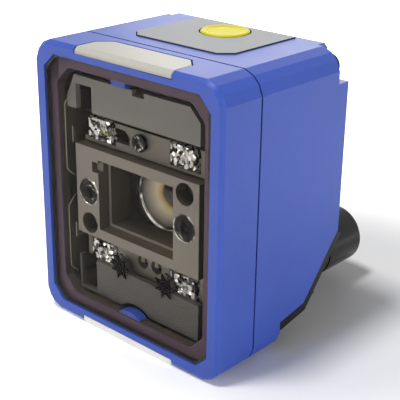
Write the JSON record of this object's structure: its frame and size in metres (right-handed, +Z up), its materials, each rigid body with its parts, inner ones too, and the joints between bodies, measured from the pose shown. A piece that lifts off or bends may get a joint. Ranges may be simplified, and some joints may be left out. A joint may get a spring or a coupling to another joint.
{
  "type": "fixed barcode reader",
  "caption": "Fixed barcode reader in a cast housing: bonded front window over a lit imager, keypad with push button on top, round connectors at the lower rear.",
  "frame": {"origin": "centre of the four threaded mounting holes, on the rear face of the housing", "axes": "+Y out of the rear face, from the window towards the connectors; +Z up; +X to the right as seen facing the window"},
  "size_m": [0.047, 0.0545, 0.0565],
  "materials": {
    "housing_paint": "satin powder coat over cast metal",
    "seal_rubber": "matt",
    "black_screw": "black oxide",
    "window_clear": "clear",
    "lamp_clear": "clear moulded",
    "bond_tint": "tinted bond",
    "guide_white": "translucent",
    "lamp_die": "phosphor",
    "mask_black": "matt",
    "plate_grey": "matt",
    "board_green": "solder mask",
    "bright_screw": "plain",
    "brass_part": "turned",
    "chassis_metal": "cast",
    "chip_black": "moulded",
    "plug_cream": "moulded",
    "panel_grey": "satin",
    "button_yellow": "satin",
    "connector_black": "satin",
    "contact_gold": "plated"
  },
  "bodies": {
    "housing": {"front_cover": "housing_paint", "rear_housing": "housing_paint", "cover_seal": "seal_rubber", "window_gasket": "seal_rubber", "block_gasket": "seal_rubber", "connector_seals": "seal_rubber", "cover_screws": "black_screw", "mask_screws": "black_screw", "star_clips": "black_screw", "window_glass": "window_clear", "front_lens": "window_clear", "rear_lens": "window_clear", "lamp_lenses": "lamp_clear", "window_bond": "bond_tint", "upper_indicator": "guide_white", "lower_indicator": "guide_white", "indicator_leds": "lamp_die", "lamp_emitters": "lamp_die", "inner_mask": "mask_black", "lens_holder": "mask_black", "lens_barrel": "mask_black", "lens_lock_ring": "mask_black", "upper_plate": "plate_grey", "lower_plate": "plate_grey", "upper_lamp_bar": "plate_grey", "lower_lamp_bar": "plate_grey", "upper_lamp_board": "board_green", "lower_lamp_board": "board_green", "sensor_board": "board_green", "processor_board": "board_green", "keypad_board": "board_green", "bar_screw": "bright_screw", "chassis_screws": "bright_screw", "holder_screws": "bright_screw", "board_screws": "bright_screw", "keypad_screws": "bright_screw", "block_screws": "bright_screw", "aiming_modules": "brass_part", "board_pillars": "brass_part", "chassis": "chassis_metal", "image_sensor": "chip_black", "processor_chip": "chip_black", "beeper": "chip_black", "push_switch": "chip_black", "board_connector": "plug_cream", "keypad_panel": "panel_grey", "connector_block": "connector_black", "power_connector": "connector_black", "network_connector": "connector_black", "power_insert": "connector_black", "network_insert": "connector_black", "power_pins": "contact_gold", "network_pins": "contact_gold"},
    "button": {"button": "button_yellow"}
  },
  "joints": [
    {"name": "button_press", "type": "slide", "parent": "housing", "child": "button", "axis": [0, 0, -1], "range_m": [0, 0.0006], "stiffness_N_per_m": 1500, "springref_m": -0.0008}
  ]
}
